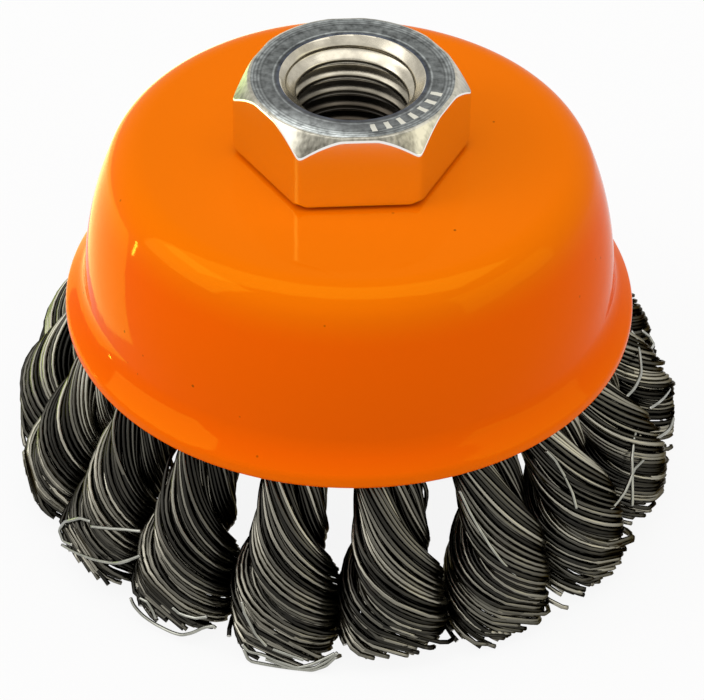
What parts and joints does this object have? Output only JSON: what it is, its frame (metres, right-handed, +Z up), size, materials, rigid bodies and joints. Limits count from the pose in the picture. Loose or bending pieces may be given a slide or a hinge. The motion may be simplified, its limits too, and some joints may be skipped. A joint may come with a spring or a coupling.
{
  "type": "wire cup brush",
  "caption": "Twisted-knot wire cup brush for an angle grinder: a painted pressed cup, a threaded hexagon nut and a ring of twisted steel wire knots.",
  "frame": {"origin": "on the brush's axis, in the plane of the wire tips that it stands on", "axes": "+Z up along the axis from the wire tips to the nut; -Y towards the front of the picture; one flat of the hexagon faces -Y, turned 4.4 degrees towards +X"},
  "size_m": [0.075, 0.0746, 0.051],
  "materials": {
    "enamel": "gloss orange enamel over pressed steel",
    "plated_steel": "bright zinc-plated steel with turned and brushed faces",
    "pressed_steel": "plain pressed steel, dull and lightly oiled",
    "wire": "dark hard-drawn steel wire with a soft gloss"
  },
  "bodies": {
    "root": {"arbor_nut": "plated_steel", "cup_shell": "enamel", "knot_holder": "pressed_steel", "wire_knot_01": "wire", "wire_knot_02": "wire", "wire_knot_03": "wire", "wire_knot_04": "wire", "wire_knot_05": "wire", "wire_knot_06": "wire", "wire_knot_07": "wire", "wire_knot_08": "wire", "wire_knot_09": "wire", "wire_knot_10": "wire", "wire_knot_11": "wire", "wire_knot_12": "wire", "wire_knot_13": "wire", "wire_knot_14": "wire", "wire_knot_15": "wire", "wire_knot_16": "wire", "wire_knot_17": "wire", "wire_knot_18": "wire"}
  },
  "joints": []
}
